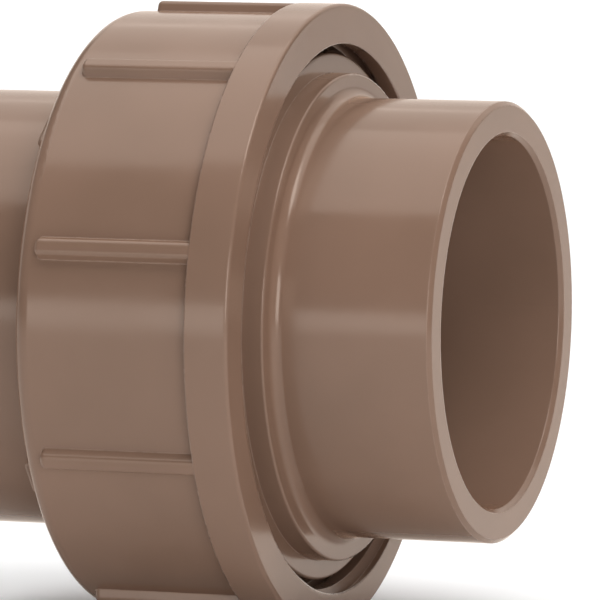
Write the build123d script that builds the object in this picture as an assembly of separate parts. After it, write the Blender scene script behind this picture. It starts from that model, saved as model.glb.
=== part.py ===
from build123d import *
import math
import os

os.makedirs("parts", exist_ok=True)

# Screwed pipe union for solvent-welded PVC pipe of 50 mm outside diameter.
# Frame: the pipe axis is X and +X points out of the externally threaded half. +Z is up.
# The origin is on the axis, halfway along the assembled union. All sizes are in millimetres.

# --- pipe socket, the same on both halves ---
SOCKET_BORE_R = 25.1
SOCKET_DEPTH = 31.0
SOCKET_R = 29.7
FLOW_R = 22.0
RIM_CHAMFER = 0.55
LEAD_IN_RADIAL = 0.5
LEAD_IN_AXIAL = 0.6

# --- the two halves along the axis ---
THREADED_LENGTH = 43.8
FLANGED_LENGTH = 35.0
FACE_GAP = 0.4
OVERALL = THREADED_LENGTH + FACE_GAP + FLANGED_LENGTH
X_THREADED_RIM = OVERALL / 2
X_THREADED_FACE = X_THREADED_RIM - THREADED_LENGTH
X_FLANGED_RIM = -OVERALL / 2
X_FLANGE_FACE = X_FLANGED_RIM + FLANGED_LENGTH

# --- step between the socket and the thread ---
STEP_SETBACK = 22.1
STEP_R = 33.0
STEP_LENGTH = 3.0
STEP_FOOT_R = 1.4
STEP_EDGE_R = 0.3
SHOULDER_EDGE_R = 0.4
NECK_LENGTH = 4.4

# --- thread: right-hand, trapezoidal, running out at the nut's face ---
PITCH = 4.0
FLANK_ANGLE = 20.0
CORE_R = 35.7
CREST_R = 38.15
NUT_ROOT_R = 38.5
NUT_CREST_R = 37.0
GROOVE_WIDTH = 1.5
FLANK_GAP = 0.2
THREAD_LEAD = 1.5
THREAD_PHASE_DEG = 65.0
BURY = 0.5
THREAD_MID_R = (CREST_R + NUT_CREST_R) / 2

# --- face seal ---
SEAL_SECTION = 3.53
SEAL_INSIDE_DIA = 53.57
SEAL_GROOVE_WIDTH = 4.4
SEAL_PLAY = 0.03
SEAL_GROOVE_DEPTH = SEAL_SECTION + 2 * SEAL_PLAY - FACE_GAP
SEAL_MID_R = (SEAL_INSIDE_DIA + SEAL_SECTION) / 2

# --- flange and its centring lugs ---
FLANGE_R = 36.5
FLANGE_THICKNESS = 5.9
FLANGE_EDGE_CHAMFER = 0.5
LUG_COUNT = 4
LUG_FIRST_DEG = 38.5
LUG_TOP_R = 33.3
LUG_FOOT_R = 28.0
LUG_WIDTH = 6.4
LUG_REACH = 8.8
LUG_CORNER_R = 1.3
LUG_TOP_EDGE_R = 0.6

# --- coupling nut ---
NUT_FACE_SETBACK = 23.55
NUT_WIDTH = 31.0
NUT_BODY_R = 40.9
NUT_REAR_ROUND = 2.3
COLLAR_R = 42.4
COLLAR_WIDTH = 6.0
COLLAR_EDGE_R = 0.45
LIP_THICKNESS = 4.2
LIP_HOLE_R = 33.8
LIP_EDGE_CHAMFER = 0.4
NUT_THREAD_LENGTH = 20.0
TRIM_LENGTH = 2.0
X_NUT_FACE = X_THREADED_RIM - NUT_FACE_SETBACK
X_NUT_REAR = X_NUT_FACE - NUT_WIDTH

# --- grip ribs on the nut ---
RIB_COUNT = 9
RIB_FIRST_DEG = 33.5
RIB_TOP_WIDTH = 1.9
RIB_BASE_WIDTH = 3.0
RIB_TOP_R = COLLAR_R - 0.05
RIB_FOOT_R = NUT_BODY_R - 1.0
RIB_REAR_GAP = 3.1
RIB_CORNER_R = 0.8
RIB_EDGE_R = 0.7


def turned(points):
    """Solid of revolution about X from (x, radius) corners."""
    outline = Wire.make_polygon([(x, r, 0) for x, r in points], close=True)
    return revolve(Face(outline), Axis.X)


def ring(x0, x1, inner, outer):
    return turned([(x0, inner), (x1, inner), (x1, outer), (x0, outer)])


def circle_edges(solid, x, r):
    """Circular edges of a given radius at a given station on the axis."""
    rims = solid.edges().filter_by(GeomType.CIRCLE).filter_by(lambda e: abs(e.radius - r) < 0.01)
    return rims.filter_by(lambda e: abs(e.arc_center.X - x) < 0.01)


def round_rim(solid, x, r, radius):
    return fillet(circle_edges(solid, x, r), radius)


def thread_ridge(x_start, x_end, foot_r, tip_r, width, phase):
    """Helical ridge from foot_r to tip_r, of the given width at the thread's middle radius."""
    slope = math.tan(math.radians(FLANK_ANGLE))
    half_foot = width / 2 + abs(foot_r - THREAD_MID_R) * slope
    half_tip = width / 2 - abs(tip_r - THREAD_MID_R) * slope
    section = Wire.make_polygon(
        [(foot_r, 0, -half_foot), (foot_r, 0, half_foot), (tip_r, 0, half_tip), (tip_r, 0, -half_tip)],
        close=True,
    )
    path = Helix(PITCH, x_end - x_start, THREAD_MID_R)
    ridge = sweep(Face(section), path=path, is_frenet=True)
    turn = phase + 360 * (x_start - X_NUT_FACE) / PITCH
    return Pos(x_start, 0, 0) * Rot(0, 90, 0) * Rot(0, 0, turn) * ridge


def threaded_end():
    """Half with the pipe socket, the stepped shoulder, the thread and the seal groove."""
    rim = X_THREADED_RIM
    face = X_THREADED_FACE
    step = rim - STEP_SETBACK
    shoulder = step - STEP_LENGTH
    thread_start = shoulder - NECK_LENGTH
    stop = rim - SOCKET_DEPTH
    body = turned(
        [
            (step, SOCKET_R),
            (rim - RIM_CHAMFER, SOCKET_R),
            (rim, SOCKET_R - RIM_CHAMFER),
            (rim, SOCKET_BORE_R + LEAD_IN_RADIAL),
            (rim - LEAD_IN_AXIAL, SOCKET_BORE_R),
            (stop, SOCKET_BORE_R),
            (stop, FLOW_R),
            (face, FLOW_R),
            (face, CORE_R - THREAD_LEAD),
            (face + THREAD_LEAD, CORE_R),
            (shoulder, CORE_R),
            (shoulder, STEP_R),
            (step, STEP_R),
        ]
    )
    body = round_rim(body, step, SOCKET_R, STEP_FOOT_R)
    body = round_rim(body, step, STEP_R, STEP_EDGE_R)
    body = round_rim(body, shoulder, CORE_R, SHOULDER_EDGE_R)
    body -= ring(
        face - BURY,
        face + SEAL_GROOVE_DEPTH,
        SEAL_MID_R - SEAL_GROOVE_WIDTH / 2,
        SEAL_MID_R + SEAL_GROOVE_WIDTH / 2,
    )
    ridge = thread_ridge(
        face - PITCH,
        shoulder + PITCH,
        CORE_R - BURY,
        CREST_R,
        GROOVE_WIDTH - FLANK_GAP,
        THREAD_PHASE_DEG,
    )
    low = CORE_R - 2 * BURY
    high = CREST_R + BURY
    envelope = turned(
        [
            (face + THREAD_LEAD - 2 * BURY, low),
            (thread_start, low),
            (thread_start - (high - low) / 2, high),
            (face + THREAD_LEAD - 2 * BURY + (high - low), high),
        ]
    )
    return body + (ridge & envelope)


def seal_ring():
    """Round-section rubber ring lying on the bottom of the groove."""
    centre = X_THREADED_FACE + SEAL_GROOVE_DEPTH - SEAL_PLAY - SEAL_SECTION / 2
    return Pos(centre, 0, 0) * Rot(0, 90, 0) * Torus(SEAL_MID_R, SEAL_SECTION / 2)


def centring_lug():
    """Lug on top of the socket behind the flange, rounded at its free end."""
    height = LUG_TOP_R - LUG_FOOT_R
    lug = Box(LUG_REACH, LUG_WIDTH, height)
    corners = lug.edges().filter_by(Axis.Z).group_by(Axis.X)[0]
    lug = fillet(corners, LUG_CORNER_R)
    free_end = lug.edges().group_by(Axis.Z)[-1].filter_by(lambda e: e.center().X < LUG_REACH / 2)
    lug = fillet(free_end, LUG_TOP_EDGE_R)
    back = X_FLANGE_FACE - FLANGE_THICKNESS
    return Pos(back + BURY - LUG_REACH / 2, 0, LUG_FOOT_R + height / 2) * lug


def flanged_end():
    """Half with the flange that the nut pulls on, the centring lugs and the pipe socket."""
    rim = X_FLANGED_RIM
    face = X_FLANGE_FACE
    back = face - FLANGE_THICKNESS
    stop = rim + SOCKET_DEPTH
    body = turned(
        [
            (face, FLOW_R),
            (face, FLANGE_R - FLANGE_EDGE_CHAMFER),
            (face - FLANGE_EDGE_CHAMFER, FLANGE_R),
            (back, FLANGE_R),
            (back, SOCKET_R),
            (rim + RIM_CHAMFER, SOCKET_R),
            (rim, SOCKET_R - RIM_CHAMFER),
            (rim, SOCKET_BORE_R + LEAD_IN_RADIAL),
            (rim + LEAD_IN_AXIAL, SOCKET_BORE_R),
            (stop, SOCKET_BORE_R),
            (stop, FLOW_R),
        ]
    )
    lug = centring_lug()
    for i in range(LUG_COUNT):
        body += Rot(LUG_FIRST_DEG + i * 360 / LUG_COUNT, 0, 0) * lug
    return body


def grip_rib():
    """One rib at the top of the nut, rounded at its rear end and buried in the collar."""
    x_rear = X_NUT_REAR + RIB_REAR_GAP
    x_front = X_NUT_FACE - COLLAR_WIDTH / 2
    half_top = RIB_TOP_WIDTH / 2
    lean = (RIB_BASE_WIDTH - RIB_TOP_WIDTH) / 2 / (RIB_TOP_R - NUT_BODY_R)
    half_foot = half_top + lean * (RIB_TOP_R - RIB_FOOT_R)
    section = Wire.make_polygon(
        [
            (x_rear, -half_foot, RIB_FOOT_R),
            (x_rear, half_foot, RIB_FOOT_R),
            (x_rear, half_top, RIB_TOP_R),
            (x_rear, -half_top, RIB_TOP_R),
        ],
        close=True,
    )
    rib = extrude(Face(section), amount=x_front - x_rear, dir=(1, 0, 0))
    end_sides = rib.edges().group_by(Axis.X)[0].filter_by(lambda e: abs(e.tangent_at(0).Z) > 0.5)
    rib = fillet(end_sides, RIB_CORNER_R)
    top = rib.edges().group_by(Axis.Z)[-1].filter_by(lambda e: e.center().X < x_front - 1)
    return fillet(top, RIB_EDGE_R)


def coupling_nut():
    """Ribbed nut: a lip at the rear, a plain collar and an internal thread cut flush at the mouth."""
    face = X_NUT_FACE
    rear = X_NUT_REAR
    untrimmed = face + TRIM_LENGTH
    collar_back = face - COLLAR_WIDTH
    nut = turned(
        [
            (rear, LIP_HOLE_R + LIP_EDGE_CHAMFER),
            (rear + LIP_EDGE_CHAMFER, LIP_HOLE_R),
            (rear + LIP_THICKNESS, LIP_HOLE_R),
            (rear + LIP_THICKNESS, NUT_ROOT_R),
            (untrimmed, NUT_ROOT_R),
            (untrimmed, COLLAR_R),
            (collar_back, COLLAR_R),
            (collar_back, NUT_BODY_R),
            (rear, NUT_BODY_R),
        ]
    )
    nut = round_rim(nut, rear, NUT_BODY_R, NUT_REAR_ROUND)
    rib = grip_rib()
    for i in range(RIB_COUNT):
        nut += Rot(RIB_FIRST_DEG + i * 360 / RIB_COUNT, 0, 0) * rib
    ridge = thread_ridge(
        face - NUT_THREAD_LENGTH - PITCH,
        face + PITCH,
        NUT_ROOT_R + BURY,
        NUT_CREST_R,
        PITCH - GROOVE_WIDTH,
        THREAD_PHASE_DEG + 180,
    )
    low = NUT_CREST_R - BURY
    high = NUT_ROOT_R + 2 * BURY
    envelope = turned(
        [
            (face - NUT_THREAD_LENGTH, high),
            (face - NUT_THREAD_LENGTH - (high - low) / 2, low),
            (untrimmed - BURY, low),
            (untrimmed - BURY / 5, high),
        ]
    )
    nut += ridge & envelope
    nut -= ring(face, untrimmed + PITCH, low - PITCH, COLLAR_R + PITCH)
    return round_rim(nut, face, COLLAR_R, COLLAR_EDGE_R)


NODES = {
    "threaded_end": threaded_end,
    "seal_ring": seal_ring,
    "flanged_end": flanged_end,
    "coupling_nut": coupling_nut,
}

for name, build in NODES.items():
    export_step(build(), f"parts/{name}.step")
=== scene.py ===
import math

import bpy
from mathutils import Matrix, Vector


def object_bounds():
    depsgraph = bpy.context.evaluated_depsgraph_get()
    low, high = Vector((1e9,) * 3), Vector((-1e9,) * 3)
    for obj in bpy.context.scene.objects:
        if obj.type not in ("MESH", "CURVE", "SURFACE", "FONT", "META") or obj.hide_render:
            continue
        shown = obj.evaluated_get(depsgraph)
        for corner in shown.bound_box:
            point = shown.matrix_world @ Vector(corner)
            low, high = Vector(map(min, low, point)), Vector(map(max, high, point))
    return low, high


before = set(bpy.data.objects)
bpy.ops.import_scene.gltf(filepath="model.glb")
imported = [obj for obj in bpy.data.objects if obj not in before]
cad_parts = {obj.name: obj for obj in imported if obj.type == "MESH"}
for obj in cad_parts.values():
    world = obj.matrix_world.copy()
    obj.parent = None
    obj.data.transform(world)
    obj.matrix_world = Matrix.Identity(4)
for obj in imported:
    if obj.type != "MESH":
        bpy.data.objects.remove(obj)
cad_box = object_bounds()

# --- camera: long lens, a little above the pipe axis, from the threaded half's side ---
# metres and degrees, with the lens and the sensor in millimetres; both clipping distances in metres
CAMERA_PLACE = (0.3442, -0.8937, 0.0888)
CAMERA_AZIMUTH = 20.481
CAMERA_ELEVATION = 5.192
CAMERA_LENS = 423.84
SENSOR_WIDTH = 36.0
NEAREST_SEEN = 0.05
FURTHEST_SEEN = 20.0

# --- colours, linear ---
PVC_DARK = (0.181, 0.110, 0.077)
PVC_LIGHT = (0.201, 0.122, 0.086)
# paler edge colour: partly scuffed plastic, partly a painted highlight along the edges
PVC_WORN_AND_LIT_EDGE = (0.250, 0.165, 0.125)
PVC_SHEEN = (1.0, 0.87, 0.77)
RUBBER_BLACK = (0.016, 0.016, 0.018)
RUBBER_DUST = (0.04, 0.04, 0.042)
PAPER_WHITE = (0.9, 0.9, 0.9)

# --- studio; the floor and the lights are in metres ---
FLOOR_HALF_WIDTH = 3.0
WORLD_STRENGTH = 0.12
OVERHEAD_HEIGHT = 1.5
OVERHEAD_WIDTH = 2.4
OVERHEAD_X = -0.05
WASH_PLACE = (-0.2, 1.9, 1.2)
WASH_SPREAD_DEG = 100.0

# --- surface of the moulded plastic; lengths in metres ---
PVC_IOR = 1.46
GLOSS_SMOOTH = 0.14
GLOSS_SMEARED = 0.19
GLOSS_SCUFFED = 0.34
EDGE_RADIUS = 0.00025
EDGE_SAMPLES = 6
SKIN_STRENGTH = 0.06
SKIN_DEPTH = 0.0001

# --- where the paler edges, partly wear and partly a painted highlight, start and where they are full: cosine between the true and the rounded normal ---
EDGE_WEAR_AND_HIGHLIGHT_STARTS = 0.995
EDGE_WEAR_AND_HIGHLIGHT_FULL = 0.93

# --- sizes of the noise patterns, in repeats per metre ---
CLOUDS_PER_METRE = 45.0
SMEARS_PER_METRE = 90.0
BLOOM_PER_METRE = 120.0
GRIME_PER_METRE = 260.0
SKIN_PER_METRE = 700.0


class Nodes:
    """Small helper to build a material's node tree."""

    def __init__(self, name):
        self.material = bpy.data.materials.new(name)
        self.material.use_nodes = True
        self.tree = self.material.node_tree
        self.tree.nodes.clear()

    def add(self, kind, **values):
        node = self.tree.nodes.new(kind)
        for key, value in values.items():
            setattr(node, key, value)
        return node

    def link(self, source, target):
        self.tree.links.new(source, target)

    def noise(self, coordinates, scale, detail, roughness=0.5):
        node = self.add("ShaderNodeTexNoise")
        node.inputs["Scale"].default_value = scale
        node.inputs["Detail"].default_value = detail
        node.inputs["Roughness"].default_value = roughness
        self.link(coordinates, node.inputs["Vector"])
        return node

    def spot(self, seed):
        """Object coordinates, moved by a seed so that no two pieces share a pattern."""
        place = self.add("ShaderNodeTexCoord")
        shift = self.add("ShaderNodeMapping")
        shift.inputs["Location"].default_value = (seed, seed * 0.37, seed * 0.71)
        self.link(place.outputs["Object"], shift.inputs["Vector"])
        return shift.outputs["Vector"]

    def edges(self, radius):
        """A normal that rounds off sharp edges, and a mask that is 1 on an edge and 0 on a smooth face."""
        bevel = self.add("ShaderNodeBevel", samples=EDGE_SAMPLES)
        bevel.inputs["Radius"].default_value = radius
        surface = self.add("ShaderNodeNewGeometry")
        flat = self.add("ShaderNodeVectorMath", operation="DOT_PRODUCT")
        self.link(bevel.outputs["Normal"], flat.inputs[0])
        self.link(surface.outputs["Normal"], flat.inputs[1])
        mask = self.add("ShaderNodeMapRange")
        mask.inputs["From Min"].default_value = EDGE_WEAR_AND_HIGHLIGHT_STARTS
        mask.inputs["From Max"].default_value = EDGE_WEAR_AND_HIGHLIGHT_FULL
        self.link(flat.outputs["Value"], mask.inputs["Value"])
        return bevel.outputs["Normal"], mask.outputs["Result"]

    def product(self, first, second):
        node = self.add("ShaderNodeMath", operation="MULTIPLY")
        self.link(first, node.inputs[0])
        self.link(second, node.inputs[1])
        return node.outputs["Value"]

    def blend(self, factor, below, above):
        """Goes from a linked colour or value to a fixed one as the factor goes from 0 to 1."""
        node = self.add("ShaderNodeMixRGB")
        colour = above if isinstance(above, tuple) else (above, above, above)
        node.inputs["Color2"].default_value = (*colour, 1)
        self.link(factor, node.inputs["Fac"])
        self.link(below, node.inputs["Color1"])
        return node.outputs["Color"]

    def ramp(self, factor, low, high, from_min=0.35, from_max=0.65):
        """Spreads a factor evenly from one value or colour to another."""
        node = self.add("ShaderNodeValToRGB")
        node.color_ramp.elements[0].position = from_min
        node.color_ramp.elements[1].position = from_max
        for element, value in zip(node.color_ramp.elements, (low, high)):
            colour = value if isinstance(value, tuple) else (value, value, value)
            element.color = (*colour, 1)
        self.link(factor, node.inputs["Fac"])
        return node.outputs["Color"]


def pvc(name, seed):
    """Semi-gloss moulded PVC: cloudy colour, paler edges that are partly scuffing and partly a painted
    highlight, uneven gloss and a fine moulded skin.
    """
    made = Nodes(name)
    spot = made.spot(seed)
    rounded, edge_wear_and_highlight = made.edges(EDGE_RADIUS)

    grime = made.noise(spot, GRIME_PER_METRE, detail=5.0, roughness=0.7)
    # edge mask broken up by noise; it pales the edges (partly wear, partly a painted edge highlight) and
    # roughens them
    patchy_wear_and_highlight = made.product(edge_wear_and_highlight, made.ramp(grime.outputs["Fac"], 0.35, 1.0, 0.4, 0.6))
    clouds = made.noise(spot, CLOUDS_PER_METRE, detail=3.0)
    tint = made.ramp(clouds.outputs["Fac"], PVC_DARK, PVC_LIGHT)
    # painted edge highlight mixed with edge wear: edges get the paler colour
    colour = made.blend(patchy_wear_and_highlight, tint, PVC_WORN_AND_LIT_EDGE)
    smears = made.noise(spot, SMEARS_PER_METRE, detail=4.0)
    gloss = made.ramp(smears.outputs["Fac"], GLOSS_SMOOTH, GLOSS_SMEARED)
    roughness = made.blend(patchy_wear_and_highlight, gloss, GLOSS_SCUFFED)

    skin = made.noise(spot, SKIN_PER_METRE, detail=2.0)
    bump = made.add("ShaderNodeBump")
    bump.inputs["Strength"].default_value = SKIN_STRENGTH
    bump.inputs["Distance"].default_value = SKIN_DEPTH
    made.link(skin.outputs["Fac"], bump.inputs["Height"])
    made.link(rounded, bump.inputs["Normal"])
    normal = bump.outputs["Normal"]

    body = made.add("ShaderNodeBsdfPrincipled")
    body.inputs["Specular IOR Level"].default_value = 0.0
    made.link(colour, body.inputs["Base Color"])
    made.link(roughness, body.inputs["Roughness"])
    made.link(normal, body.inputs["Normal"])
    sheen = made.add("ShaderNodeBsdfAnisotropic")
    sheen.inputs["Color"].default_value = (*PVC_SHEEN, 1)
    made.link(roughness, sheen.inputs["Roughness"])
    made.link(normal, sheen.inputs["Normal"])
    glance = made.add("ShaderNodeFresnel")
    glance.inputs["IOR"].default_value = PVC_IOR
    made.link(normal, glance.inputs["Normal"])
    surface = made.add("ShaderNodeMixShader")
    made.link(glance.outputs["Fac"], surface.inputs["Fac"])
    made.link(body.outputs["BSDF"], surface.inputs[1])
    made.link(sheen.outputs["BSDF"], surface.inputs[2])
    out = made.add("ShaderNodeOutputMaterial")
    made.link(surface.outputs["Shader"], out.inputs["Surface"])
    return made.material


def rubber(name):
    """Matt black rubber with a faint dusty bloom."""
    made = Nodes(name)
    place = made.add("ShaderNodeTexCoord")
    shader = made.add("ShaderNodeBsdfPrincipled")
    bloom = made.noise(place.outputs["Object"], BLOOM_PER_METRE, detail=4.0)
    made.link(made.ramp(bloom.outputs["Fac"], RUBBER_BLACK, RUBBER_DUST), shader.inputs["Base Color"])
    made.link(made.ramp(bloom.outputs["Fac"], 0.5, 0.7), shader.inputs["Roughness"])
    out = made.add("ShaderNodeOutputMaterial")
    made.link(shader.outputs["BSDF"], out.inputs["Surface"])
    return made.material


def paper():
    made = Nodes("paper_white")
    shader = made.add("ShaderNodeBsdfPrincipled")
    shader.inputs["Base Color"].default_value = (*PAPER_WHITE, 1)
    shader.inputs["Roughness"].default_value = 0.9
    out = made.add("ShaderNodeOutputMaterial")
    made.link(shader.outputs["BSDF"], out.inputs["Surface"])
    return made.material


def dress(node, material):
    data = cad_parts[node].data
    data.materials.clear()
    data.materials.append(material)


def floor(height):
    half = FLOOR_HALF_WIDTH
    mesh = bpy.data.meshes.new("floor")
    corners = [(-half, -half, height), (half, -half, height), (half, half, height), (-half, half, height)]
    mesh.from_pydata(corners, [], [(0, 1, 2, 3)])
    plane = bpy.data.objects.new("floor", mesh)
    bpy.context.scene.collection.objects.link(plane)
    mesh.materials.append(paper())


def around(azimuth, elevation, distance):
    """Place seen from the object in a direction: azimuth from +X towards +Y, elevation from the horizon."""
    turn, lift = math.radians(azimuth), math.radians(elevation)
    level = distance * math.cos(lift)
    return level * math.cos(turn), level * math.sin(turn), distance * math.sin(lift)


def below(place):
    """Point straight below a place, at the height of the pipe axis."""
    return place[0], place[1], 0


def soft_box(name, place, aim, width, height, brightness):
    """Evenly glowing panel, with its brightness given as radiance so that its size can change freely."""
    light = bpy.data.lights.new(name, "AREA")
    light.shape = "RECTANGLE"
    light.size = width
    light.size_y = height
    light.energy = math.pi * width * height * brightness
    lamp = bpy.data.objects.new(name, light)
    lamp.location = place
    lamp.rotation_euler = (Vector(aim) - Vector(place)).to_track_quat("-Z", "Y").to_euler()
    lamp.visible_camera = False
    bpy.context.scene.collection.objects.link(lamp)
    return lamp


def studio_lights():
    """Two big panels overhead, smaller ones round the object, and a wash that only lights the far floor."""
    middle = (0, 0, 0)
    front = (OVERHEAD_X, 0.03, OVERHEAD_HEIGHT)
    rear = (OVERHEAD_X, 1.67, OVERHEAD_HEIGHT)
    soft_box("overhead", front, below(front), width=OVERHEAD_WIDTH, height=1.72, brightness=2.1)
    soft_box("overhead_rear", rear, below(rear), width=OVERHEAD_WIDTH, height=1.52, brightness=1.15)
    soft_box("upper_right", around(-30, 60, 1.4), middle, width=0.8, height=0.5, brightness=5.0)
    soft_box("key", around(-57, 12, 1.6), middle, width=0.9, height=0.6, brightness=6.2)
    soft_box("front_left_strip", around(-110, 3.2, 1.5), middle, width=0.5, height=0.25, brightness=2.9)
    soft_box("back_left", around(150, 8, 1.5), middle, width=1.4, height=0.45, brightness=0.9)
    soft_box("back", around(95, 17, 2.6), middle, width=3.0, height=1.5, brightness=0.88)
    wash = soft_box("floor_wash", WASH_PLACE, below(WASH_PLACE), width=2.6, height=1.0, brightness=0.7)
    wash.data.spread = math.radians(WASH_SPREAD_DEG)
    wash.visible_glossy = False


def studio_world():
    world = bpy.data.worlds.new("studio")
    world.use_nodes = True
    world.node_tree.nodes["Background"].inputs["Color"].default_value = (1, 1, 1, 1)
    world.node_tree.nodes["Background"].inputs["Strength"].default_value = WORLD_STRENGTH
    bpy.context.scene.world = world


def camera():
    data = bpy.data.cameras.new("camera")
    data.sensor_width = SENSOR_WIDTH
    data.lens = CAMERA_LENS
    data.clip_start = NEAREST_SEEN
    data.clip_end = FURTHEST_SEEN
    eye = bpy.data.objects.new("camera", data)
    eye.location = CAMERA_PLACE
    eye.rotation_euler = (math.radians(90 - CAMERA_ELEVATION), 0, math.radians(CAMERA_AZIMUTH))
    bpy.context.scene.collection.objects.link(eye)
    bpy.context.scene.camera = eye


dress("threaded_end", pvc("pvc_threaded_half", 0.0))
dress("flanged_end", pvc("pvc_flanged_half", 3.1))
dress("coupling_nut", pvc("pvc_nut", 7.3))
dress("seal_ring", rubber("rubber_seal"))

floor(cad_box[0].z)
studio_world()
studio_lights()
camera()
bpy.context.scene.view_settings.view_transform = "Standard"
